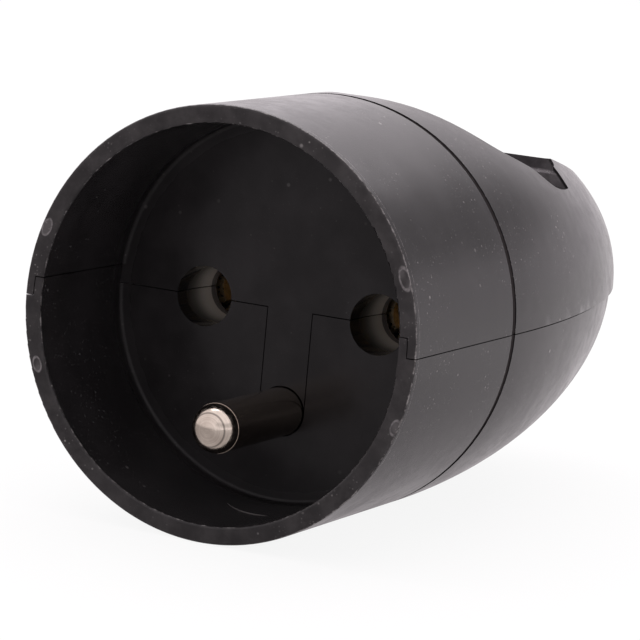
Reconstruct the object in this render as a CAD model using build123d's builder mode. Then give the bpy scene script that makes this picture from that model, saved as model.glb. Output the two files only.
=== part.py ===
"""Rewirable in-line socket outlet with two round contacts and a projecting earth pin, in millimetres.

The axis of the socket is Y. The rim of the plug recess lies in the plane Y = 0, and the cord leaves at
the far end, towards +Y. Z is up, across the parting plane of the two half shells, and the earth pin is
below the axis.
"""
import os
from math import asin, cos, sin, sqrt

from build123d import *

# Housing
outer_radius = 20.75
rim_wall = 1.75
recess_depth = 15.4
floor_thickness = 5.0
barrel_length = 24.0
length = 73.5
upper_end_radius = 8.5
lower_end_radius = 7.3
tail_wall = 2.2
end_wall = 3.5
tail_steps = 8
cord_radius = 4.5
rim_round = 0.25
floor_round = 0.4
end_round = 1.2
parting_gap = 0.1
fit = 0.1

# Groove round the barrel, measured back from the barrel's end
groove_setback = 1.7
groove_width = 0.8
groove_depth = 0.8

# Lap joint of the two rims
tongue_thickness = 0.8
tongue_height = 1.8

# Thumb scoop on top of the upper shell: runs behind the barrel and drops below its top line
scoop_lead = 0.4
shoulder_run = 4.6
shoulder_drop = 1.35
slope_run = 9.2
slope_drop = 4.25
floor_run = 15.2
floor_drop = 6.65
low_run = 23.0
low_drop = 9.0

# Heel behind the scoop: an upright front, a ledge with round corners for the thumb, and a sloping top
heel_front_run = 23.5
ledge_drop = 7.75
ledge_half = 12.7
ledge_round = 3.0
heel_run = 25.9
heel_drop = 6.58
heel_slope = 0.21

# Contact holes, carried on behind the recess floor by two guide tubes
contact_pitch = 19.0
hole_radius = 3.0
hole_straight = 3.4
guide_length = 2.4
guide_wall = 1.6
mouth_radius = 2.65
mouth_land = 0.4

# Contacts: slotted sleeve, collar, neck and terminal block
plug_pin_radius = 2.4
bore_clearance = 0.05
contact_gap = 1.2
contact_depth = 15.1
sleeve_wall = 1.05
sleeve_slot = 0.6
sleeve_chamfer = 0.3
collar_height = 0.9
collar_thickness = 1.5
neck_wall = 0.75
block_size = 9.0
block_length = 11.5
block_round = 0.6
wire_radius = 1.5
spring_setback = 1.6
spring_width = 1.2
spring_thickness = 0.7
spring_seat = 0.25
spring_gap = 1.2

# Earth pin
earth_offset = 10.0
earth_radius = 2.4
earth_tip_gap = 0.1
earth_tip_height = 1.9
undercut_radius = 2.0
undercut_width = 1.0
earth_collar_radius = 4.4

# Web that locates the contacts, and ribs under their terminal blocks
web_gap = 7.5
web_thickness = 2.0
rib_setback = 2.0
rib_thickness = 2.0

# Terminal screws
terminal_radius = 1.7
terminal_head_radius = 2.7
terminal_head_height = 2.0

# Screws that hold the shells together, and their bosses: the screws stand midway in the room between the
# terminal blocks and the end wall, less their setback
screw_spread = 14.0
boss_wall = 1.3
shell_screw_setback = 7.1
shell_radius = 1.45
shell_head_radius = 2.6
shell_head_height = 1.9
shell_screw_seat = 9.0
shell_screw_bite = 8.0
well_clearance = 0.4
well_wall = 1.2

# Cord clamp behind the shell screws, and its own screws
clamp_setback = 7.0
clamp_width = 6.0
clamp_thickness = 2.4
clamp_overhang = 2.6
clamp_round = 1.2
clamp_seat_drop = 1.5
clamp_ridge_radius = 0.8
cradle_radius = 4.0
cradle_thickness = 3.0
clamp_radius = 1.45
clamp_head_radius = 2.4
clamp_head_height = 1.8
clamp_screw_bite = 6.0

# Screw details
thread_clearance = 0.05
shank_clearance = 0.2
pilot_extra = 0.6
slot_width = 0.8
slot_depth = 0.9
head_round = 0.4

# Places that follow from those sizes
inner_radius = outer_radius - rim_wall
half_gap = parting_gap / 2
floor_rear = recess_depth + floor_thickness
groove_y = barrel_length - groove_setback
contact_x = contact_pitch / 2
guide_rear = floor_rear + guide_length
contact_front = guide_rear + contact_gap
contact_bore = plug_pin_radius + bore_clearance
sleeve_radius = contact_bore + sleeve_wall
collar_radius = sleeve_radius + collar_height
neck_radius = contact_bore + neck_wall
web_front = contact_front + web_gap
web_rear = web_front + web_thickness
block_front = web_rear + fit
block_rear = block_front + block_length
bore_end = contact_front + contact_depth
terminal_y = (bore_end + block_rear) / 2
screw_x = screw_spread / 2
hollow_end = length - end_wall
shell_screw_y = (block_rear + hollow_end - shell_screw_setback) / 2
clamp_y = shell_screw_y + clamp_setback
clamp_seat = -clamp_seat_drop
heel_front = barrel_length + heel_front_run
heel_y = barrel_length + heel_run
slot_half = earth_radius + fit
well_radius = shell_head_radius + well_clearance
side_signs = {"left": -1, "right": 1}
pole_signs = {"neutral": -1, "live": 1}

os.makedirs("parts", exist_ok=True)


def across(y):
    """Plane across the axis at y: its x is X, its y is Z, and a negative extrusion goes to the rear."""
    return Plane.XZ.offset(-y)


def tail_length(end_radius):
    """Half axis along Y of the ellipse that narrows the tail to the end radius."""
    return (length - barrel_length) / sqrt(1 - (end_radius / outer_radius) ** 2)


def tail_curve(half_width, half_length, end):
    """Smooth curve through points of an ellipse, from the end of the barrel back to the plane Y = end."""
    last = asin((end - barrel_length) / half_length)
    angles = [last * step / tail_steps for step in range(tail_steps + 1)]
    points = [(half_width * cos(a), barrel_length + half_length * sin(a)) for a in angles]
    end_tangent = (-half_width * sin(last), half_length * cos(last))
    return Spline(*points, tangents=[(0, 1), end_tangent])


def make_outside(end_radius):
    """Turned outside of the housing: rim, recess, barrel with its groove, and elliptical tail."""
    groove_floor = outer_radius - groove_depth
    groove_front = groove_y - groove_width / 2
    groove_rear = groove_y + groove_width / 2
    with BuildPart() as outside:
        with BuildSketch(Plane.XY):
            with BuildLine():
                front = Polyline(
                    (0, recess_depth),
                    (inner_radius, recess_depth),
                    (inner_radius, 0),
                    (outer_radius, 0),
                    (outer_radius, groove_front),
                    (groove_floor, groove_front),
                    (groove_floor, groove_rear),
                    (outer_radius, groove_rear),
                    (outer_radius, barrel_length),
                )
                tail = tail_curve(outer_radius, tail_length(end_radius), length)
                Polyline(tail @ 1, (0, length), front @ 0)
            make_face()
        revolve(axis=Axis.Y)
        fillet(outside.edges().group_by(Axis.Y)[0], rim_round)
        fillet(outside.edges().group_by(Axis.Y)[-1], end_round)
        floor_corner = outside.edges().filter_by(GeomType.CIRCLE)
        fillet(floor_corner.sort_by_distance((inner_radius, recess_depth, 0))[0], floor_round)
    return outside.part


def make_hollow(end_radius):
    """Turned space in the tail, from the back of the recess floor to the end wall, less the guide tubes."""
    hollow_radius = outer_radius - tail_wall
    with BuildPart() as hollow:
        with BuildSketch(Plane.XY):
            with BuildLine():
                front = Polyline(
                    (0, floor_rear),
                    (hollow_radius, floor_rear),
                    (hollow_radius, barrel_length),
                )
                tail = tail_curve(hollow_radius, tail_length(end_radius) - tail_wall, hollow_end)
                Polyline(tail @ 1, (0, hollow_end), front @ 0)
            make_face()
        revolve(axis=Axis.Y)
        with BuildSketch(across(floor_rear)):
            with Locations((-contact_x, 0), (contact_x, 0)):
                Circle(hole_radius + guide_wall)
        extrude(amount=-guide_length, mode=Mode.SUBTRACT)
    return hollow.part


def make_scoop(lowered, front):
    """Block over scoop and heel: its underside sinks, stands upright at the heel's front, then slopes."""
    top = outer_radius - lowered
    above = outer_radius + tail_wall
    behind = length + end_wall
    with BuildPart() as scoop:
        with BuildSketch(Plane.YZ):
            with BuildLine():
                sink = Spline(
                    (barrel_length - scoop_lead, top),
                    (barrel_length + shoulder_run, top - shoulder_drop),
                    (barrel_length + slope_run, top - slope_drop),
                    (barrel_length + floor_run, top - floor_drop),
                    (barrel_length + low_run, top - low_drop),
                    tangents=[(1, 0), (1, 0)],
                )
                Polyline(
                    sink @ 1,
                    (front, top - low_drop),
                    (front, top - heel_drop - heel_slope * (front - heel_y)),
                    (behind, top - heel_drop - heel_slope * (behind - heel_y)),
                    (behind, above),
                    (barrel_length - scoop_lead, above),
                    sink @ 0,
                )
            make_face()
        extrude(amount=outer_radius, both=True)
    return scoop.part


def make_web():
    """Web across the tail: round seats for the contact necks and a slot that takes the earth pin's neck."""
    with BuildPart() as web:
        with BuildSketch(across(web_front)):
            Rectangle(2 * outer_radius, 2 * outer_radius)
            with Locations((-contact_x, 0), (contact_x, 0)):
                Circle(neck_radius + fit, mode=Mode.SUBTRACT)
            SlotCenterToCenter(2 * earth_offset, 2 * slot_half, rotation=90, mode=Mode.SUBTRACT)
        extrude(amount=-web_thickness)
    return web.part


def make_contact_holes():
    """Both contact holes through floor and guide tubes: a straight mouth, a slow cone and a short land."""
    with BuildPart() as holes:
        for x in (-contact_x, contact_x):
            with BuildSketch(Plane((x, 0, 0))):
                with BuildLine():
                    Polyline(
                        (0, recess_depth),
                        (hole_radius, recess_depth),
                        (hole_radius, recess_depth + hole_straight),
                        (mouth_radius, guide_rear - mouth_land),
                        (mouth_radius, guide_rear),
                        (0, guide_rear),
                        close=True,
                    )
                make_face()
            revolve(axis=Axis((x, 0, 0), (0, 1, 0)))
    return holes.part


def make_screw(x, y, seat, tip, radius, head_radius, head_height):
    """Slotted cheese-head screw that points down: its head stands on the height seat."""
    with BuildPart() as screw:
        with BuildSketch(Plane.XY.offset(seat)):
            with Locations((x, y)):
                Circle(head_radius)
        extrude(amount=head_height)
        fillet(screw.edges().group_by(Axis.Z)[-1], head_round)
        with BuildSketch(Plane.XY.offset(seat)):
            with Locations((x, y)):
                Circle(radius)
        extrude(amount=tip - seat)
        with BuildSketch(Plane.XY.offset(seat + head_height)):
            with Locations((x, y)):
                Rectangle(2 * head_radius, slot_width)
        extrude(amount=-slot_depth, mode=Mode.SUBTRACT)
    return screw.part


web_plate = make_web()
contact_holes = make_contact_holes()

# Upper shell: the space inside it leaves the web and the screw wells standing
with BuildPart() as upper_space:
    add(make_hollow(upper_end_radius))
    add(make_scoop(tail_wall, heel_y + tail_wall), mode=Mode.SUBTRACT)
    add(web_plate, mode=Mode.SUBTRACT)
    with BuildSketch(Plane.XY):
        with Locations((-screw_x, shell_screw_y), (screw_x, shell_screw_y)):
            Circle(shell_radius + shank_clearance + boss_wall)
    extrude(amount=outer_radius, mode=Mode.SUBTRACT)
    with BuildSketch(Plane.XY.offset(shell_screw_seat - well_wall)):
        with Locations((-screw_x, shell_screw_y), (screw_x, shell_screw_y)):
            Circle(well_radius + well_wall)
    extrude(amount=outer_radius, mode=Mode.SUBTRACT)

with BuildPart() as upper_shell:
    add(make_outside(upper_end_radius))
    add(make_scoop(0.0, heel_front), mode=Mode.SUBTRACT)
    add(upper_space.part, mode=Mode.SUBTRACT)
    add(contact_holes, mode=Mode.SUBTRACT)
    with BuildSketch(across(length - end_wall)):
        Circle(cord_radius)
    extrude(amount=-end_wall, mode=Mode.SUBTRACT)
    # Wells and holes of the shell screws
    with BuildSketch(Plane.XY.offset(shell_screw_seat)):
        with Locations((-screw_x, shell_screw_y), (screw_x, shell_screw_y)):
            Circle(well_radius)
    extrude(amount=outer_radius, mode=Mode.SUBTRACT)
    with BuildSketch(Plane.XY):
        with Locations((-screw_x, shell_screw_y), (screw_x, shell_screw_y)):
            Circle(shell_radius + shank_clearance)
    extrude(amount=shell_screw_seat, mode=Mode.SUBTRACT)
    # Ledge in the heel, open to the scoop
    with BuildSketch(Plane.XY.offset(outer_radius - ledge_drop)) as ledge:
        with Locations((0, heel_y)):
            Rectangle(2 * ledge_half, heel_y - heel_front + ledge_round, align=(Align.CENTER, Align.MAX))
        fillet(ledge.vertices().group_by(Axis.Y)[-1], ledge_round)
    extrude(amount=outer_radius, mode=Mode.SUBTRACT)
    split(bisect_by=Plane.XY.offset(half_gap), keep=Keep.TOP)
    # Rebate of the lap joint
    with BuildSketch(across(0)):
        Circle(inner_radius + tongue_thickness + fit)
        with Locations((0, (tongue_height + fit) / 2)):
            Rectangle(2 * outer_radius, tongue_height + fit, mode=Mode.INTERSECT)
    extrude(amount=-recess_depth, mode=Mode.SUBTRACT)
    # Tab that fills the slot in the lower floor down to the earth pin
    with BuildSketch(across(recess_depth)):
        with Locations((0, -earth_offset / 2 + half_gap)):
            Rectangle(2 * (slot_half - fit), earth_offset + parting_gap)
        with Locations((0, -earth_offset)):
            Circle(slot_half, mode=Mode.SUBTRACT)
    extrude(amount=-floor_thickness)
upper_shell.part.label = "upper_shell"
export_step(upper_shell.part, "parts/upper_shell.step")

# Lower shell: the space inside it leaves the web, ribs, bosses and the cord's cradle standing
with BuildPart() as lower_space:
    add(make_hollow(lower_end_radius))
    add(web_plate, mode=Mode.SUBTRACT)
    with BuildSketch(across(block_rear - rib_setback - rib_thickness)):
        for x in (-contact_x, contact_x):
            with Locations((x, -block_size / 2 - fit)):
                Rectangle(block_size, outer_radius, align=(Align.CENTER, Align.MAX))
    extrude(amount=-rib_thickness, mode=Mode.SUBTRACT)
    with BuildSketch(Plane.XY.offset(-half_gap)):
        with Locations((-screw_x, shell_screw_y), (screw_x, shell_screw_y)):
            Circle(shell_radius + boss_wall)
    extrude(amount=-outer_radius, mode=Mode.SUBTRACT)
    with BuildSketch(Plane.XY.offset(clamp_seat)):
        with Locations((-screw_x, clamp_y), (screw_x, clamp_y)):
            Circle(clamp_radius + boss_wall)
    extrude(amount=-outer_radius, mode=Mode.SUBTRACT)
    with BuildSketch(across(clamp_y - cradle_thickness / 2)):
        with Locations((0, clamp_seat)):
            Rectangle(screw_spread, outer_radius, align=(Align.CENTER, Align.MAX))
        Circle(cradle_radius, mode=Mode.SUBTRACT)
    extrude(amount=-cradle_thickness, mode=Mode.SUBTRACT)

with BuildPart() as lower_shell:
    add(make_outside(lower_end_radius))
    add(lower_space.part, mode=Mode.SUBTRACT)
    add(contact_holes, mode=Mode.SUBTRACT)
    with BuildSketch(across(length - end_wall)):
        Circle(cord_radius)
    extrude(amount=-end_wall, mode=Mode.SUBTRACT)
    split(bisect_by=Plane.XY.offset(-half_gap), keep=Keep.BOTTOM)
    # Pilot holes of the shell screws and the clamp screws
    with BuildSketch(Plane.XY):
        with Locations((-screw_x, shell_screw_y), (screw_x, shell_screw_y)):
            Circle(shell_radius + thread_clearance)
    extrude(amount=-shell_screw_bite - pilot_extra, mode=Mode.SUBTRACT)
    with BuildSketch(Plane.XY.offset(clamp_seat)):
        with Locations((-screw_x, clamp_y), (screw_x, clamp_y)):
            Circle(clamp_radius + thread_clearance)
    extrude(amount=-clamp_screw_bite - pilot_extra, mode=Mode.SUBTRACT)
    # Slot in the recess floor that takes the earth pin from above
    with BuildSketch(across(recess_depth)):
        SlotCenterToCenter(2 * earth_offset, 2 * slot_half, rotation=90)
    extrude(amount=-floor_thickness, mode=Mode.SUBTRACT)
    # Tongue of the lap joint
    with BuildSketch(across(0)):
        Circle(inner_radius + tongue_thickness)
        Circle(inner_radius, mode=Mode.SUBTRACT)
        with Locations((0, tongue_height)):
            Rectangle(
                2 * outer_radius, 2 * tongue_height, align=(Align.CENTER, Align.MAX), mode=Mode.INTERSECT
            )
    extrude(amount=-recess_depth + fit)
lower_shell.part.label = "lower_shell"
export_step(lower_shell.part, "parts/lower_shell.step")

# Live and neutral contacts, each with a spring ring round its leaves and a terminal screw
for pole, sign in pole_signs.items():
    x = sign * contact_x
    axis = Axis((x, 0, 0), (0, 1, 0))
    collar_rear = web_front - fit
    collar_front = collar_rear - collar_thickness
    spring_front = contact_front + spring_setback
    seat_radius = sleeve_radius - spring_seat

    with BuildPart() as contact:
        with BuildSketch(Plane((x, 0, 0))):
            with BuildLine():
                Polyline(
                    (0, contact_front),
                    (sleeve_radius - sleeve_chamfer, contact_front),
                    (sleeve_radius, contact_front + sleeve_chamfer),
                    (sleeve_radius, spring_front),
                    (seat_radius, spring_front),
                    (seat_radius, spring_front + spring_width),
                    (sleeve_radius, spring_front + spring_width),
                    (sleeve_radius, collar_front),
                    (collar_radius, collar_front),
                    (collar_radius, collar_rear),
                    (neck_radius, collar_rear),
                    (neck_radius, block_front),
                    (0, block_front),
                    close=True,
                )
            make_face()
        revolve(axis=axis)
        with BuildSketch(across(block_front)):
            with Locations((x, 0)):
                RectangleRounded(block_size, block_size, block_round)
        extrude(amount=-block_length)
        # Bore for the plug's pin, wire hole from the rear and screw hole from above
        with BuildSketch(across(contact_front)):
            with Locations((x, 0)):
                Circle(contact_bore)
        extrude(amount=-contact_depth, mode=Mode.SUBTRACT)
        with BuildSketch(across(bore_end)):
            with Locations((x, 0)):
                Circle(wire_radius)
        extrude(amount=bore_end - block_rear, mode=Mode.SUBTRACT)
        with BuildSketch(Plane.XY):
            with Locations((x, terminal_y)):
                Circle(terminal_radius + thread_clearance)
        extrude(amount=block_size, mode=Mode.SUBTRACT)
        # Two crossed slots that part the sleeve into four leaves
        with BuildSketch(across(contact_front)):
            with Locations((x, 0)):
                Rectangle(sleeve_slot, 2 * collar_radius, rotation=45)
                Rectangle(sleeve_slot, 2 * collar_radius, rotation=-45)
        extrude(amount=contact_front - collar_front, mode=Mode.SUBTRACT)
    contact.part.label = f"{pole}_contact"
    export_step(contact.part, f"parts/{pole}_contact.step")

    with BuildPart() as spring:
        with BuildSketch(across(spring_front + fit / 2)):
            with Locations((x, 0)):
                Circle(seat_radius + spring_thickness)
                Circle(seat_radius + bore_clearance, mode=Mode.SUBTRACT)
            with Locations((x, sleeve_radius)):
                Rectangle(spring_gap, 2 * spring_thickness, mode=Mode.SUBTRACT)
        extrude(amount=fit - spring_width)
    spring.part.label = f"{pole}_contact_spring"
    export_step(spring.part, f"parts/{pole}_contact_spring.step")

    terminal_screw = make_screw(
        x, terminal_y, block_size / 2, 0, terminal_radius, terminal_head_radius, terminal_head_height
    )
    terminal_screw.label = f"{pole}_terminal_screw"
    export_step(terminal_screw, f"parts/{pole}_terminal_screw.step")

# Earth pin: domed tip, shaft undercut at the floor, collar between floor and web, neck and terminal block
earth_axis = Axis((0, 0, -earth_offset), (0, 1, 0))
earth_plane = Plane((0, 0, -earth_offset))
with BuildPart() as earth_pin:
    with BuildSketch(earth_plane):
        with BuildLine():
            dome = EllipticalCenterArc(
                (0, earth_tip_gap + earth_tip_height),
                earth_radius,
                earth_tip_height,
                start_angle=270,
                arc_size=90,
            )
            Polyline(
                dome @ 1,
                (earth_radius, recess_depth),
                (undercut_radius, recess_depth),
                (undercut_radius, recess_depth + undercut_width),
                (earth_radius, recess_depth + undercut_width),
                (earth_radius, floor_rear + fit),
                (earth_collar_radius, floor_rear + fit),
                (earth_collar_radius, web_front - fit),
                (earth_radius, web_front - fit),
                (earth_radius, block_front),
                (0, block_front),
                dome @ 0,
            )
        make_face()
    revolve(axis=earth_axis)
    with BuildSketch(across(block_front)):
        with Locations((0, -earth_offset)):
            RectangleRounded(block_size, block_size, block_round)
    extrude(amount=-block_length)
    # Wire hole from the rear and screw hole from above
    with BuildSketch(across(bore_end)):
        with Locations((0, -earth_offset)):
            Circle(wire_radius)
    extrude(amount=bore_end - block_rear, mode=Mode.SUBTRACT)
    with BuildSketch(earth_plane):
        with Locations((0, terminal_y)):
            Circle(terminal_radius + thread_clearance)
    extrude(amount=block_size, mode=Mode.SUBTRACT)
earth_pin.part.label = "earth_pin"
export_step(earth_pin.part, "parts/earth_pin.step")

earth_screw = make_screw(
    0,
    terminal_y,
    block_size / 2 - earth_offset,
    -earth_offset,
    terminal_radius,
    terminal_head_radius,
    terminal_head_height,
)
earth_screw.label = "earth_terminal_screw"
export_step(earth_screw, "parts/earth_terminal_screw.step")

# Cord clamp: bar across the cradle with a ridge that bites the cord's sheath
with BuildPart() as cord_clamp:
    with BuildSketch(Plane.XY.offset(clamp_seat)):
        with Locations((0, clamp_y)):
            RectangleRounded(screw_spread + 2 * clamp_overhang, clamp_width, clamp_round)
        with Locations((-screw_x, clamp_y), (screw_x, clamp_y)):
            Circle(clamp_radius + shank_clearance, mode=Mode.SUBTRACT)
    extrude(amount=clamp_thickness)
    with BuildSketch(Plane.YZ):
        with Locations((clamp_y, clamp_seat)):
            Circle(clamp_ridge_radius)
    extrude(amount=cradle_radius - clamp_ridge_radius, both=True)
cord_clamp.part.label = "cord_clamp"
export_step(cord_clamp.part, "parts/cord_clamp.step")

# Screws of the clamp and of the shells
for side, sign in side_signs.items():
    clamp_screw = make_screw(
        sign * screw_x,
        clamp_y,
        clamp_seat + clamp_thickness,
        clamp_seat - clamp_screw_bite,
        clamp_radius,
        clamp_head_radius,
        clamp_head_height,
    )
    clamp_screw.label = f"{side}_clamp_screw"
    export_step(clamp_screw, f"parts/{side}_clamp_screw.step")

    shell_screw = make_screw(
        sign * screw_x,
        shell_screw_y,
        shell_screw_seat,
        -shell_screw_bite,
        shell_radius,
        shell_head_radius,
        shell_head_height,
    )
    shell_screw.label = f"{side}_shell_screw"
    export_step(shell_screw, f"parts/{side}_shell_screw.step")
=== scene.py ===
"""In-line socket outlet: finishes, small moulding marks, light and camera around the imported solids."""
from math import cos, radians, sin

import bpy
import numpy as np
from mathutils import Matrix, Vector


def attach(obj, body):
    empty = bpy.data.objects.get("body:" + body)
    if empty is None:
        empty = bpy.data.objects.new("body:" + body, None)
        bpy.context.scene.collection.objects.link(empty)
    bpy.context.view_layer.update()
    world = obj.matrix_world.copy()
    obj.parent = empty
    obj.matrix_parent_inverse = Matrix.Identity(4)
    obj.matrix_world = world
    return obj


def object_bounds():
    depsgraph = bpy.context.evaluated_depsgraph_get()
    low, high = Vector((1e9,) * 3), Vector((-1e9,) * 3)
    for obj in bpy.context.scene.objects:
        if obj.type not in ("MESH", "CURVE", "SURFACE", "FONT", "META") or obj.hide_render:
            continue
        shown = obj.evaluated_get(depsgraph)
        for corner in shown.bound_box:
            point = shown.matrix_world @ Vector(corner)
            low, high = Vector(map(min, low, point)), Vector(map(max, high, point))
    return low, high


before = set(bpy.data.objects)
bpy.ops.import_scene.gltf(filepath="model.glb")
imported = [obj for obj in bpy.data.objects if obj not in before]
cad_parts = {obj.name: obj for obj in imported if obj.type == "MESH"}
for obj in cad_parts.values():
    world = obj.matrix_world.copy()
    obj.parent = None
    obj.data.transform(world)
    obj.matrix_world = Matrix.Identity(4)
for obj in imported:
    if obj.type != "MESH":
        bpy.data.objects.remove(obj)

cad_low, cad_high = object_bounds()
scene = bpy.context.scene

# Sizes of the moulding in millimetres, as the solids have them
MM = 0.001
RIM_OUTER = 20.75
RIM_INNER = 19.0
RIM_EDGE = 0.1
RIM_SCRATCH = 0.75
RECESS_DEPTH = 15.4
GROOVE_FRONT = 21.9
GROOVE_REAR = 22.7
HOLE_X = 9.5
HOLE_RADIUS = 3.0
HOLE_LENGTH = 7.5
PIN_Z = -10.0
PIN_RADIUS = 2.4
PIN_FACE_RADIUS = 1.62
PIN_DOME_END = 2.0
PIN_DARK_BASE_FROM = RECESS_DEPTH - 0.2
PIN_RING_RADIUS = 0.028
PIN_RING_STEPS = 120
HEEL_FRONT = 47.5
HEEL_STEP = 49.9
HEEL_SKIN = 18.4
HEEL_LOW_Z = 11.0
LEDGE_Z = 13.0

# Ejector marks on the rim: angle in degrees, distance from the axis, half width and half length
EJECTOR_MARKS = (
    (160.4, 20.10, 0.45, 0.80),
    (-160.8, 19.95, 0.42, 0.70),
    (20.9, 20.29, 0.50, 1.05),
    (-18.7, 20.45, 0.42, 0.72),
)

# Worn round edges: radius, place along the socket, reach of the wear and its amount
WORN_EDGES = (
    (RIM_OUTER, RIM_EDGE, 0.35, 0.60),
    (RIM_OUTER, RIM_SCRATCH, 0.14, 0.55),
    (RIM_INNER, RIM_EDGE, 0.35, 0.52),
    (RIM_OUTER, GROOVE_FRONT, 0.22, 0.45),
    (RIM_OUTER, GROOVE_REAR, 0.22, 0.45),
)

# Dust layers on the moulding: cells in a millimetre, size in a cell, share of cells, and strength
DUST_LAYERS = ((1.5, 0.16, 0.6, 0.42), (0.45, 0.09, 0.5, 0.6), (3.2, 0.24, 0.55, 0.25))

# Flow line on the lower wall of the recess: places across and along the socket, and its bead
FLOW_X = (-2.4, -0.85, 0.45, 2.07, 3.6)
FLOW_Y = (10.3, 9.0, 8.6, 7.8, 7.4)
FLOW_END_RADIUS = 0.005
FLOW_SWELL = 0.075
FLOW_STEPS = 61
BEAD_SIDES = 10

# Colours of marks, wear and dust, and of painted shade, sheen, highlight and reflection
RUBBED_RIM = (0.035, 0.033, 0.033, 1)
EJECTOR_GREY = (0.21, 0.20, 0.20, 1)
# Contact-hole lining: a darker colour painted as shade toward the mouth, and its own pale colour deep in
HOLE_WALL_SHADED = (0.13, 0.125, 0.11, 1)
HOLE_WALL_REAR = (0.60, 0.56, 0.49, 1)
# Heel: painted sheen, lighter on its front face, and a painted highlight along its ledge
HEEL_SHEEN = (0.080, 0.075, 0.078, 1)
HEEL_FRONT_SHEEN = (0.16, 0.151, 0.156, 1)
LEDGE_HIGHLIGHT = (0.21, 0.20, 0.205, 1)
GROOVE_DUST = (0.085, 0.076, 0.076, 1)
SPECK_GREY = (0.32, 0.31, 0.30, 1)
SCUFF_GREY = (0.34, 0.33, 0.32, 1)
# Pin: a painted dark reflection line round its tip's face, and a darker base by the recess floor
PIN_DARK_REFLECTION_AND_BASE = (0.030, 0.027, 0.024, 1)
WHITE = (1, 1, 1, 1)


def opaque(colour, factor=1.0):
    """Colour times a factor, with full alpha."""
    return (*[factor * part for part in colour], 1)


class Tree:
    """Adds nodes to one node tree: values go into sockets, and sockets given as values are linked."""

    def __init__(self, tree):
        self.tree = tree

    def node(self, kind, inputs=None, **settings):
        made = self.tree.nodes.new(kind)
        for name, value in settings.items():
            setattr(made, name, value)
        for name, value in (inputs or {}).items():
            socket = made.inputs[name]
            if isinstance(value, bpy.types.NodeSocket):
                self.link(value, socket)
            else:
                socket.default_value = value
        return made

    def link(self, source, target):
        self.tree.links.new(source, target)

    def group(self, tree, inputs):
        return self.node("ShaderNodeGroup", inputs, node_tree=tree).outputs

    def math(self, operation, first, second=0.0, clamp=False):
        made = self.node("ShaderNodeMath", {0: first, 1: second}, operation=operation, use_clamp=clamp)
        return made.outputs[0]

    def plus(self, first, second, clamp=False):
        return self.math("ADD", first, second, clamp)

    def minus(self, first, second, clamp=False):
        return self.math("SUBTRACT", first, second, clamp)

    def times(self, first, second, clamp=False):
        return self.math("MULTIPLY", first, second, clamp)

    def apart(self, first, second):
        return self.math("ABSOLUTE", self.minus(first, second))

    def length(self, first, second):
        return self.math("SQRT", self.plus(self.times(first, first), self.times(second, second)))

    def all_of(self, *masks):
        """Product of masks: one only where each of them is one."""
        product = masks[0]
        for mask in masks[1:]:
            product = self.times(product, mask)
        return product

    def most(self, *values):
        top = values[0]
        for value in values[1:]:
            top = self.math("MAXIMUM", top, value)
        return top

    def dot(self, vector, direction):
        made = self.node("ShaderNodeVectorMath", {0: vector, 1: direction}, operation="DOT_PRODUCT")
        return made.outputs["Value"]

    def split(self, vector):
        return self.node("ShaderNodeSeparateXYZ", {0: vector}).outputs

    def noise(self, vector, scale, detail=2.0, roughness=0.5):
        made = self.node(
            "ShaderNodeTexNoise",
            {"Vector": vector, "Scale": scale, "Detail": detail, "Roughness": roughness},
        )
        return made.outputs["Fac"]

    def ramp(self, value, low, high, to_low=0.0, to_high=1.0):
        """Smooth step from one level, at low, to another, at high."""
        made = self.node(
            "ShaderNodeMapRange",
            {"Value": value, "From Min": low, "From Max": high, "To Min": to_low, "To Max": to_high},
            interpolation_type="SMOOTHSTEP",
        )
        return made.outputs["Result"]

    def mix_color(self, factor, first, second):
        """Colour mix: sockets 6 and 7 of the node are its two colours, and output 2 is the mixed one."""
        return self.node("ShaderNodeMix", {0: factor, 6: first, 7: second}, data_type="RGBA").outputs[2]


FLOAT = "NodeSocketFloat"
VECTOR = "NodeSocketVector"


def new_group(name, inputs, outputs):
    """Empty shader group with named sockets: returns its tree, its input sockets and its output sockets."""
    tree = bpy.data.node_groups.new(name, "ShaderNodeTree")
    for label, kind, value in inputs:
        socket = tree.interface.new_socket(label, in_out="INPUT", socket_type=kind)
        if value is not None:
            socket.default_value = value
    for label, kind in outputs:
        tree.interface.new_socket(label, in_out="OUTPUT", socket_type=kind)
    source = tree.nodes.new("NodeGroupInput")
    target = tree.nodes.new("NodeGroupOutput")
    return Tree(tree), source.outputs, target.inputs


def place_group():
    """Object coordinates in millimetres, with the distance from the Y axis and the place along it."""
    tree, given, out = new_group(
        "Place on the housing",
        [("Vector", VECTOR, None)],
        [("Millimetres", VECTOR), ("Radius", FLOAT), ("Along", FLOAT)],
    )
    scaled = tree.node("ShaderNodeVectorMath", {0: given["Vector"], "Scale": 1 / MM}, operation="SCALE")
    across, along, up = tree.split(scaled.outputs[0])
    tree.link(scaled.outputs[0], out["Millimetres"])
    tree.link(tree.length(across, up), out["Radius"])
    tree.link(along, out["Along"])
    return tree.tree


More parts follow.
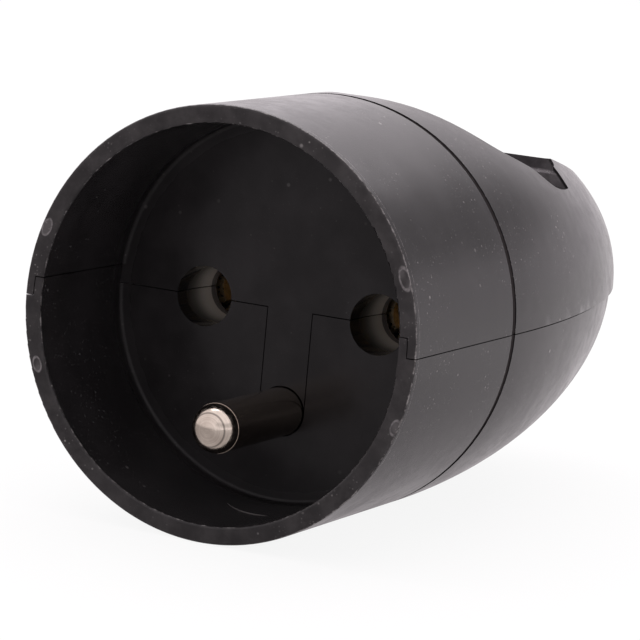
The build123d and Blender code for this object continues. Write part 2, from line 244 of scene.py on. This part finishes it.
def edge_wear_group():
    """Mask round a turned edge: one near a circle of Edge Radius at Edge Along, broken up, gone at Reach."""
    tree, given, out = new_group(
        "Scuffed round edge",
        [
            ("Millimetres", VECTOR, None),
            ("Radius", FLOAT, 0.0),
            ("Along", FLOAT, 0.0),
            ("Edge Radius", FLOAT, 20.0),
            ("Edge Along", FLOAT, 0.0),
            ("Reach", FLOAT, 0.4),
            ("Amount", FLOAT, 0.5),
        ],
        [("Mask", FLOAT)],
    )
    across = tree.minus(given["Radius"], given["Edge Radius"])
    along = tree.minus(given["Along"], given["Edge Along"])
    distance = tree.length(across, along)
    near = tree.minus(1.0, tree.math("DIVIDE", distance, given["Reach"]), clamp=True)
    broken = tree.noise(given["Millimetres"], 1.1, 4.0, 0.7)
    fine = tree.noise(given["Millimetres"], 6.0, 2.0, 0.6)
    chance = tree.plus(tree.times(broken, 0.7), tree.times(fine, 0.3))
    level = tree.minus(1.0, tree.times(given["Amount"], near))
    worn = tree.ramp(tree.minus(chance, level), -0.10, 0.12)
    tree.link(tree.times(worn, near, clamp=True), out["Mask"])
    return tree.tree


def speck_group():
    """Mask of small round specks: one near the points of a share of the cells of a cell pattern."""
    tree, given, out = new_group(
        "Dust specks",
        [("Millimetres", VECTOR, None), ("Scale", FLOAT, 1.0), ("Size", FLOAT, 0.1), ("Share", FLOAT, 0.3)],
        [("Mask", FLOAT)],
    )
    cells = tree.node("ShaderNodeTexVoronoi", {"Vector": given["Millimetres"], "Scale": given["Scale"]})
    draw = tree.node("ShaderNodeSeparateColor", {"Color": cells.outputs["Color"]}).outputs
    size = tree.times(given["Size"], tree.plus(0.35, draw[1]))
    inside = tree.minus(1.0, tree.math("DIVIDE", cells.outputs["Distance"], size), clamp=True)
    chosen = tree.math("LESS_THAN", draw[0], given["Share"])
    patch = tree.ramp(tree.noise(given["Millimetres"], 0.13, 3.0, 0.6), 0.40, 0.58)
    soft = tree.times(tree.ramp(inside, 0.0, 0.6), chosen)
    tree.link(tree.times(soft, patch, clamp=True), out["Mask"])
    return tree.tree


def grain_group():
    """Moulding grain: fine noise as Height, slow noise as Cloud, and thin stretched lines as Scratch."""
    tree, given, out = new_group(
        "Moulding grain",
        [("Millimetres", VECTOR, None), ("Fineness", FLOAT, 4.0), ("Stretch", VECTOR, (1.0, 1.0, 1.0))],
        [("Height", FLOAT), ("Cloud", FLOAT), ("Scratch", FLOAT)],
    )
    drawn = tree.node(
        "ShaderNodeVectorMath", {0: given["Millimetres"], 1: given["Stretch"]}, operation="MULTIPLY"
    )
    lines = tree.noise(drawn.outputs[0], 1.0, 2.0, 0.5)
    tree.link(tree.noise(given["Millimetres"], given["Fineness"], 3.0, 0.6), out["Height"])
    tree.link(tree.noise(given["Millimetres"], 0.16, 4.0, 0.55), out["Cloud"])
    tree.link(tree.ramp(lines, 0.66, 0.72), out["Scratch"])
    return tree.tree


def ring_group():
    """Oval mark on the rim: by the scaled distance from its middle, Ring is one at 1 and Inside below 1."""
    tree, given, out = new_group(
        "Ejector ring",
        [
            ("Millimetres", VECTOR, None),
            ("Outward", VECTOR, (1.0, 0.0, 0.0)),
            ("Sideways", VECTOR, (0.0, 0.0, 1.0)),
            ("Distance", FLOAT, 20.0),
            ("Half Width", FLOAT, 0.5),
            ("Half Length", FLOAT, 1.0),
        ],
        [("Ring", FLOAT), ("Inside", FLOAT)],
    )
    from_middle = tree.minus(tree.dot(given["Millimetres"], given["Outward"]), given["Distance"])
    across = tree.math("DIVIDE", from_middle, given["Half Width"])
    along = tree.math("DIVIDE", tree.dot(given["Millimetres"], given["Sideways"]), given["Half Length"])
    reach = tree.length(across, along)
    broken = tree.ramp(tree.noise(given["Millimetres"], 2.2, 3.0, 0.6), 0.35, 0.6, 0.35, 1.0)
    tree.link(tree.times(tree.ramp(tree.apart(reach, 1.0), 0.28, 0.04), broken), out["Ring"])
    tree.link(tree.ramp(reach, 1.05, 0.85), out["Inside"])
    return tree.tree


def hole_group():
    """Mask inside the two contact holes: one near a hole's axis, from the recess floor to the hole's end."""
    slack = 0.02
    tree, given, out = new_group(
        "Wall of a contact hole",
        [
            ("Millimetres", VECTOR, None),
            ("Radius", FLOAT, 3.0),
            ("From", FLOAT, 15.0),
            ("Length", FLOAT, 7.0),
        ],
        [("Mask", FLOAT), ("Depth", FLOAT)],
    )
    across, along, up = tree.split(given["Millimetres"])
    beside = tree.minus(tree.math("ABSOLUTE", across), HOLE_X)
    inside = tree.math("LESS_THAN", tree.length(beside, up), tree.plus(given["Radius"], slack))
    depth = tree.minus(along, given["From"])
    behind_floor = tree.math("GREATER_THAN", depth, slack)
    before_end = tree.math("LESS_THAN", depth, given["Length"])
    tree.link(tree.all_of(inside, behind_floor, before_end), out["Mask"])
    tree.link(depth, out["Depth"])
    return tree.tree


def turning_group():
    """Turning marks: uneven rings by the distance from a piece's own axis, as a height from 0 to 1."""
    tree, given, out = new_group(
        "Turning marks",
        [
            ("Millimetres", VECTOR, None),
            ("Axis X", FLOAT, 0.0),
            ("Axis Z", FLOAT, 0.0),
            ("Pitch", FLOAT, 0.2),
        ],
        [("Rings", FLOAT), ("From Axis", FLOAT)],
    )
    across, _, up = tree.split(given["Millimetres"])
    reach = tree.length(tree.minus(across, given["Axis X"]), tree.minus(up, given["Axis Z"]))
    turns = tree.math("DIVIDE", reach, given["Pitch"])
    uneven = tree.node(
        "ShaderNodeTexNoise",
        {"W": turns, "Scale": 1.0, "Detail": 3.0, "Roughness": 0.7},
        noise_dimensions="1D",
    )
    tree.link(uneven.outputs["Fac"], out["Rings"])
    tree.link(reach, out["From Axis"])
    return tree.tree


PLACE = place_group()
EDGE_WEAR = edge_wear_group()
SPECKS = speck_group()
GRAIN = grain_group()
EJECTOR_RING = ring_group()
HOLE_WALL = hole_group()
TURNING = turning_group()


def new_material(name):
    """Material with a Principled shader, and its place in millimetres."""
    made = bpy.data.materials.new(name)
    made.use_nodes = True
    tree = Tree(made.node_tree)
    shader = made.node_tree.nodes["Principled BSDF"]
    where = tree.node("ShaderNodeTexCoord").outputs["Object"]
    return made, tree, shader, tree.group(PLACE, {"Vector": where})


def finish_shader(tree, shader, colour, rough, relief, strength, depth):
    """Colour, roughness and relief into the shader: the relief is a bump of a strength and a depth."""
    bump = tree.node("ShaderNodeBump", {"Strength": strength, "Distance": depth * MM, "Height": relief})
    tree.link(colour, shader.inputs["Base Color"])
    tree.link(rough, shader.inputs["Roughness"])
    tree.link(bump.outputs["Normal"], shader.inputs["Normal"])


def specks_on(tree, place, cells, size, share):
    """Mask of specks, with so many cells in a millimetre."""
    inputs = {"Millimetres": place["Millimetres"], "Scale": cells, "Size": size, "Share": share}
    return tree.group(SPECKS, inputs)["Mask"]


def rim_marks(tree, place, colour):
    """Rubbed face of the rim with its ejector marks: returns the colour and the mask of the rings."""
    millimetres = place["Millimetres"]
    on_face = tree.ramp(place["Along"], 0.25, 0.05)
    patchy = tree.ramp(tree.noise(millimetres, 0.35, 5.0, 0.65), 0.35, 0.7, 0.25, 1.0)
    colour = tree.mix_color(tree.times(on_face, patchy), colour, RUBBED_RIM)
    rings = []
    smears = []
    for angle, distance, half_width, half_length in EJECTOR_MARKS:
        turn = radians(angle)
        outward = (cos(turn), 0.0, sin(turn))
        mark = tree.group(
            EJECTOR_RING,
            {
                "Millimetres": millimetres,
                "Outward": outward,
                "Sideways": (-sin(turn), 0.0, cos(turn)),
                "Distance": distance,
                "Half Width": half_width,
                "Half Length": half_length,
            },
        )
        near_side = tree.math("GREATER_THAN", tree.dot(millimetres, outward), 0.0)
        rings.append(tree.times(mark["Ring"], near_side))
        smears.append(tree.times(mark["Inside"], near_side))
    ring = tree.times(tree.most(*rings), on_face)
    cloudy = tree.ramp(tree.noise(millimetres, 0.45, 1.0, 0.5), 0.35, 0.65)
    smear = tree.all_of(tree.most(*smears), on_face, cloudy)
    marked = tree.most(tree.times(ring, 0.65), tree.times(smear, 0.22))
    return tree.mix_color(marked, colour, EJECTOR_GREY), ring


def hole_walls(tree, place, colour):
    """Contact holes: pale deep in, painted shade toward the mouth; returns the colour and the holes' mask.
    """
    hole = tree.group(
        HOLE_WALL,
        {
            "Millimetres": place["Millimetres"],
            "Radius": HOLE_RADIUS,
            "From": RECESS_DEPTH,
            "Length": HOLE_LENGTH,
        },
    )
    # Painted shade: the pale lining grades through the darker colour to the black wall toward the mouth
    lining_and_shade = tree.times(hole["Mask"], tree.ramp(hole["Depth"], 1.2, 5.0))
    pale = tree.mix_color(tree.ramp(hole["Depth"], 3.2, 6.4), HOLE_WALL_SHADED, HOLE_WALL_REAR)
    return tree.mix_color(lining_and_shade, colour, pale), hole["Mask"]


def heel_sheen(tree, place, colour, haze):
    """Painted sheen in the stepped heel, below the skin of the tail, with a painted highlight on its ledge.
    """
    along = place["Along"]
    height = tree.dot(place["Millimetres"], (0.0, 0.0, 1.0))
    to_skin = tree.plus(place["Radius"], tree.ramp(along, HEEL_FRONT, HEEL_STEP, 0.0, 0.45))
    sheen = tree.all_of(
        tree.ramp(along, HEEL_FRONT - 0.4, HEEL_FRONT),
        tree.ramp(to_skin, HEEL_SKIN + 0.1, HEEL_SKIN - 0.1),
        tree.ramp(along, HEEL_STEP + 0.2, HEEL_STEP + 0.1),
        tree.ramp(height, HEEL_LOW_Z - 0.2, HEEL_LOW_Z + 0.2),
        tree.ramp(haze, 0.3, 0.7, 0.5, 1.0),
    )
    on_front = tree.ramp(along, HEEL_FRONT + 0.3, HEEL_FRONT + 0.1)
    # Painted highlight: a pale band along the ledge
    on_ledge = tree.ramp(tree.apart(height, LEDGE_Z), 0.14, 0.04)
    colour = tree.mix_color(sheen, colour, tree.mix_color(on_front, HEEL_SHEEN, HEEL_FRONT_SHEEN))
    return tree.mix_color(tree.times(sheen, on_ledge), colour, LEDGE_HIGHLIGHT)


def groove_dust(tree, place, colour):
    """Dust in the groove between the barrel and the tail, below their skin."""
    middle = (GROOVE_FRONT + GROOVE_REAR) / 2
    half_width = (GROOVE_REAR - GROOVE_FRONT) / 2
    between = tree.ramp(tree.apart(place["Along"], middle), half_width + 0.06, half_width)
    below = tree.ramp(place["Radius"], RIM_OUTER - 0.08, RIM_OUTER - 0.2)
    return tree.mix_color(tree.times(tree.times(between, below), 0.8), colour, GROOVE_DUST)


def loose_dust(tree, place, colour):
    """Layers of specks all over the moulding, weaker inside the recess."""
    layers = []
    for cells, size, share, strength in DUST_LAYERS:
        layers.append(tree.times(specks_on(tree, place, cells, size, share), strength))
    outside = tree.ramp(place["Radius"], RIM_INNER - 0.4, RIM_OUTER - 0.35, 0.25, 1.0)
    return tree.mix_color(tree.times(tree.most(*layers), outside), colour, SPECK_GREY)


def edge_scuffs(tree, place, colour):
    """Pale scuffs on the worn round edges: returns the colour and the mask of the wear."""
    masks = []
    for edge_radius, edge_along, reach, amount in WORN_EDGES:
        scuff = tree.group(
            EDGE_WEAR,
            {
                "Millimetres": place["Millimetres"],
                "Radius": place["Radius"],
                "Along": place["Along"],
                "Edge Radius": edge_radius,
                "Edge Along": edge_along,
                "Reach": reach,
                "Amount": amount,
            },
        )
        masks.append(scuff["Mask"])
    wear = tree.most(*masks)
    return tree.mix_color(tree.times(wear, 0.6), colour, SCUFF_GREY), wear


def black_plastic(name, shade, roughness):
    """Semi-gloss moulding: clouded shade and gloss, grain, marks, dust, scuffs, painted shade and sheen."""
    made, tree, shader, place = new_material(name)
    millimetres = place["Millimetres"]
    grain = tree.group(GRAIN, {"Millimetres": millimetres, "Fineness": 3.2, "Stretch": (0.9, 0.12, 0.9)})
    haze = tree.noise(millimetres, 0.7, 6.0, 0.7)
    mottle = tree.plus(tree.times(grain["Cloud"], 0.5), tree.times(haze, 0.5))

    colour = tree.mix_color(tree.ramp(grain["Cloud"], 0.35, 0.7), opaque(shade, 0.8), opaque(shade, 1.3))
    colour, ring = rim_marks(tree, place, colour)
    # Contact holes: pale lining with painted shade toward the mouth
    colour, hole = hole_walls(tree, place, colour)
    # Heel: painted sheen, with a painted highlight on its ledge
    colour = heel_sheen(tree, place, colour, haze)
    colour = groove_dust(tree, place, colour)
    colour = loose_dust(tree, place, colour)
    colour, wear = edge_scuffs(tree, place, colour)

    from_wall = tree.minus(place["Radius"], RIM_INNER)
    from_floor = tree.minus(place["Along"], RECESS_DEPTH)
    dull_corner = tree.ramp(tree.length(from_wall, from_floor), 1.4, 0.7, 0.0, 0.25)
    rough = tree.ramp(mottle, 0.38, 0.62, roughness - 0.04, roughness + 0.05)
    rough = tree.plus(tree.minus(rough, tree.times(hole, 0.08)), dull_corner)
    rough = tree.plus(rough, tree.times(tree.plus(wear, ring), 0.22), clamp=True)

    relief = tree.plus(grain["Height"], tree.times(grain["Scratch"], -0.5))
    relief = tree.plus(relief, tree.times(ring, 1.5))
    shader.inputs["Specular IOR Level"].default_value = 0.25
    finish_shader(tree, shader, colour, rough, relief, strength=0.08, depth=0.02)
    return made


def turned_metal(name, bright, dull, roughness, axis, pitch, dirt, worn=None):
    """Turned metal: rings round its own axis, tarnish and specks.

    Worn: radius of the tip's painted dark reflection line, end of its rubbed part, start of its darker base.
    """
    made, tree, shader, place = new_material(name)
    millimetres = place["Millimetres"]
    along = place["Along"]
    grain = tree.group(GRAIN, {"Millimetres": millimetres, "Fineness": 3.0, "Stretch": (6.0, 0.5, 6.0)})
    turning = {"Millimetres": millimetres, "Axis X": axis[0], "Axis Z": axis[1], "Pitch": pitch}
    marks = tree.group(TURNING, turning)
    tarnish = tree.ramp(tree.plus(grain["Cloud"], tree.times(marks["Rings"], 0.25)), 0.50, 0.80)
    if worn:
        face_radius, rubbed_to, dark_base_from = worn
        tarnish = tree.most(tarnish, tree.ramp(along, rubbed_to - 0.5, rubbed_to + 0.3))
    colour = tree.mix_color(tarnish, opaque(bright), opaque(dull))
    specks = specks_on(tree, place, 2.2, 0.2, 0.3)
    colour = tree.mix_color(tree.times(specks, dirt), colour, opaque(dull, 0.35))
    if worn:
        # Painted reflection: a dark line round the tip's face; the shaft is also darker from the recess
        # floor on
        dark_reflection_line = tree.ramp(tree.apart(marks["From Axis"], face_radius), 0.10, 0.03)
        dark_reflection_and_base = tree.most(tree.ramp(along, dark_base_from, dark_base_from + 0.3), tree.times(dark_reflection_line, 0.6))
        colour = tree.mix_color(dark_reflection_and_base, colour, PIN_DARK_REFLECTION_AND_BASE)
    rough = tree.ramp(grain["Height"], 0.3, 0.7, roughness - 0.05, roughness + 0.08)
    relief = tree.plus(tree.times(grain["Height"], 0.4), marks["Rings"])
    shader.inputs["Metallic"].default_value = 1.0
    finish_shader(tree, shader, colour, rough, relief, strength=0.25, depth=0.012)
    return made


def contact_brass(name, axis_x):
    """Drawn brass of a contact sleeve, turned round its own hole's axis."""
    return turned_metal(name, (0.90, 0.75, 0.50), (0.76, 0.60, 0.36), 0.30, (axis_x, 0.0), 0.6, dirt=0.1)


socket_axis = (0.0, 0.0)
housing = black_plastic("black housing plastic", (0.0135, 0.0126, 0.0130), 0.21)
flow_pale = black_plastic("pale flow line", (0.10, 0.095, 0.092), 0.30)
nickel = turned_metal(
    "plated pin",
    (0.86, 0.78, 0.67),
    (0.52, 0.45, 0.38),
    0.17,
    (0.0, PIN_Z),
    0.16,
    dirt=0.4,
    worn=(PIN_FACE_RADIUS, PIN_DOME_END, PIN_DARK_BASE_FROM),
)
live_brass = contact_brass("live contact brass", HOLE_X)
neutral_brass = contact_brass("neutral contact brass", -HOLE_X)
screw_steel = turned_metal(
    "screw steel", (0.40, 0.40, 0.41), (0.26, 0.26, 0.27), 0.38, socket_axis, 0.3, dirt=0.5
)
spring_steel = turned_metal(
    "spring steel", (0.36, 0.37, 0.40), (0.22, 0.23, 0.26), 0.30, socket_axis, 0.2, dirt=0.5
)

finishes = {
    "upper_shell": housing,
    "lower_shell": housing,
    "cord_clamp": housing,
    "earth_pin": nickel,
    "live_contact": live_brass,
    "neutral_contact": neutral_brass,
    "live_contact_spring": spring_steel,
    "neutral_contact_spring": spring_steel,
}
for name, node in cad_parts.items():
    finish = finishes.get(name, screw_steel)
    for slot in node.material_slots:
        slot.material = finish


def white_stage(name, shadow):
    """Floor: white to the eye with a share of shaded paper; reflections see a glow with painted shadow."""
    reflected_shade_near = (0.49, 0.455, 0.47, 1)
    reflected_glow_far = (1.0, 0.94, 0.965, 1)
    made = bpy.data.materials.new(name)
    made.use_nodes = True
    made.node_tree.nodes.clear()
    tree = Tree(made.node_tree)
    path = tree.node("ShaderNodeLightPath").outputs
    direct = tree.times(path["Is Camera Ray"], 1.0 - shadow)
    mirrored = tree.most(path["Is Glossy Ray"], path["Is Transmission Ray"])
    where = tree.node("ShaderNodeTexCoord").outputs["Object"]
    # Painted shadow in reflections: the glow is dim in front of and under the socket, bright behind it
    behind = tree.ramp(tree.dot(where, (0.0, 1.0, 0.0)), -0.02, 0.13)
    reflected_floor_shade = tree.mix_color(behind, reflected_shade_near, reflected_glow_far)
    white = tree.mix_color(tree.noise(where, 40.0), (0.80, 0.79, 0.79, 1), (0.84, 0.83, 0.83, 1))
    paper = tree.node("ShaderNodeBsdfDiffuse", {"Color": white})
    shown = tree.mix_color(path["Is Camera Ray"], reflected_floor_shade, WHITE)
    glow = tree.node("ShaderNodeEmission", {"Color": shown, "Strength": 1.0})
    both = tree.node(
        "ShaderNodeMixShader",
        {0: tree.plus(direct, mirrored, clamp=True), 1: paper.outputs[0], 2: glow.outputs[0]},
    )
    tree.link(both.outputs[0], tree.node("ShaderNodeOutputMaterial").inputs["Surface"])
    return made


def grid_piece(name, points, closed_u, closed_v):
    """Mesh of quads over a grid of points, in rows and columns: either direction can close on itself."""
    rows, columns = points.shape[:2]
    numbers = np.arange(rows * columns).reshape(rows, columns)
    if closed_u:
        numbers = np.vstack([numbers, numbers[:1]])
    if closed_v:
        numbers = np.hstack([numbers, numbers[:, :1]])
    corners = [numbers[:-1, :-1], numbers[:-1, 1:], numbers[1:, 1:], numbers[1:, :-1]]
    mesh = bpy.data.meshes.new(name)
    mesh.from_pydata(points.reshape(-1, 3), [], np.stack(corners, axis=-1).reshape(-1, 4))
    mesh.polygons.foreach_set("use_smooth", np.ones(len(mesh.polygons), dtype=bool))
    mesh.update()
    piece = bpy.data.objects.new(name, mesh)
    scene.collection.objects.link(piece)
    return piece


def bead_along(path, outward, sideways, radius):
    """Bead along a path: each place plus its radius times a circle in its outward and sideways axes."""
    turn = np.linspace(0, 2 * np.pi, BEAD_SIDES, endpoint=False)[None, :, None]
    circle = np.cos(turn) * outward[:, None, :] + np.sin(turn) * sideways[:, None, :]
    return (path[:, None, :] + radius[:, None, None] * circle) * MM


def flow_line():
    """Bead on the lower recess wall: a cubic through the marked places on the cylinder, thin at its ends."""
    x = np.linspace(FLOW_X[0], FLOW_X[-1], FLOW_STEPS)
    y = np.polyval(np.polyfit(FLOW_X, FLOW_Y, 3), x)
    z = -np.sqrt(RIM_INNER**2 - x**2)
    path = np.stack([x, y, z], axis=-1)
    forward = np.gradient(path, axis=0)
    forward /= np.linalg.norm(forward, axis=1, keepdims=True)
    inward = np.stack([-x, np.zeros_like(x), -z], axis=-1) / RIM_INNER
    thin = FLOW_END_RADIUS + FLOW_SWELL * np.sqrt(np.sin(np.linspace(0, np.pi, x.size)))
    points = bead_along(path, inward, np.cross(forward, inward), thin)
    return grid_piece("flow_line", points, False, True)


def pin_ring():
    """Burnished ring round the earth pin, where plugs stop rubbing it: a thin torus on the shaft."""
    turn = np.linspace(0, 2 * np.pi, PIN_RING_STEPS, endpoint=False)
    outward = np.stack([np.cos(turn), np.zeros_like(turn), np.sin(turn)], axis=-1)
    path = PIN_RADIUS * outward + np.array([0.0, PIN_DOME_END, PIN_Z])
    along = np.tile([0.0, 1.0, 0.0], (turn.size, 1))
    thin = np.full(turn.size, PIN_RING_RADIUS)
    return grid_piece("pin_ring", bead_along(path, outward, along, thin), True, True)


added = ((flow_line(), flow_pale, "housing_plastic"), (pin_ring(), nickel, "nickel_plate"))
for piece, finish, slot in added:
    piece.data.materials.append(finish)
    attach(piece, "root")


FLOOR_SIDE = 3.0
FLOOR_GAP = 0.00002
steps = np.linspace(-FLOOR_SIDE / 2, FLOOR_SIDE / 2, 9)
floor_x, floor_y = np.meshgrid(steps, steps, indexing="ij")
floor_points = np.stack([floor_x, floor_y, np.full_like(floor_x, cad_low.z - FLOOR_GAP)], axis=-1)
floor = grid_piece("studio_floor", floor_points[::-1], False, False)
floor.data.materials.append(white_stage("white floor paper", shadow=0.10))


def soft_lamp(name, place, aim, size, power, colour):
    """Soft lamp of a width and height at a place, turned to face the aim."""
    lamp = bpy.data.lights.new(name, "AREA")
    lamp.shape = "RECTANGLE"
    lamp.size, lamp.size_y = size
    lamp.energy = power
    lamp.color = colour
    made = bpy.data.objects.new(name, lamp)
    made.visible_camera = False
    made.location = place
    made.rotation_euler = (Vector(aim) - Vector(place)).to_track_quat("-Z", "Y").to_euler()
    scene.collection.objects.link(made)


socket_middle = (0.0, 0.030, 0.0)
soft_lamp("overhead softbox", (-0.10, 0.30, 0.64), socket_middle, (0.95, 0.85), 5.0, (1.0, 0.95, 0.98))


def white_world():
    """World: white to the eye, else a soft room with a bright card rear left and a dim gap rear right."""
    world = bpy.data.worlds.new("white room")
    world.use_nodes = True
    world.node_tree.nodes.clear()
    tree = Tree(world.node_tree)
    across, back, up = tree.split(tree.node("ShaderNodeTexCoord").outputs["Generated"])
    gap = tree.all_of(tree.ramp(up, 0.10, 0.26), tree.ramp(up, 0.52, 0.34), tree.ramp(across, -0.05, 0.25))
    card = tree.all_of(
        tree.ramp(up, 0.03, 0.17),
        tree.ramp(up, 0.70, 0.45),
        tree.ramp(across, 0.14, -0.12),
        tree.ramp(back, 0.2, 0.7),
    )
    level = tree.minus(tree.plus(1.0, tree.times(card, 0.3)), tree.times(gap, 0.45))
    room = tree.node("ShaderNodeBackground", {"Color": (1.0, 0.93, 0.97, 1), "Strength": level})
    white = tree.node("ShaderNodeBackground", {"Color": WHITE, "Strength": 1.0})
    seen = tree.node("ShaderNodeLightPath").outputs["Is Camera Ray"]
    both = tree.node("ShaderNodeMixShader", {0: seen, 1: room.outputs[0], 2: white.outputs[0]})
    tree.link(both.outputs[0], tree.node("ShaderNodeOutputWorld").inputs["Surface"])
    return world


scene.world = white_world()

# Camera at the photograph's viewing angle: place, axes, and focal length in pixels of a square frame
FOCAL_PIXELS = 3791.24
FRAME_PIXELS = 640
eye = Vector((161.535, -310.617, 56.044)) * MM
right = Vector((0.88984, 0.44740, 0.08948))
down = Vector((0.14847, -0.09850, -0.98400))
forward = Vector((-0.43143, 0.88889, -0.15407))
lens = bpy.data.cameras.new("photo lens")
lens.sensor_width = 36.0
lens.lens = FOCAL_PIXELS / FRAME_PIXELS * lens.sensor_width
lens.clip_start = 0.01
lens.clip_end = 10.0
camera = bpy.data.objects.new("photo camera", lens)
turn = Matrix((right, -down, -forward)).transposed()
camera.matrix_world = Matrix.Translation(eye) @ turn.to_4x4()
scene.collection.objects.link(camera)
scene.camera = camera
scene.view_settings.view_transform = "Standard"
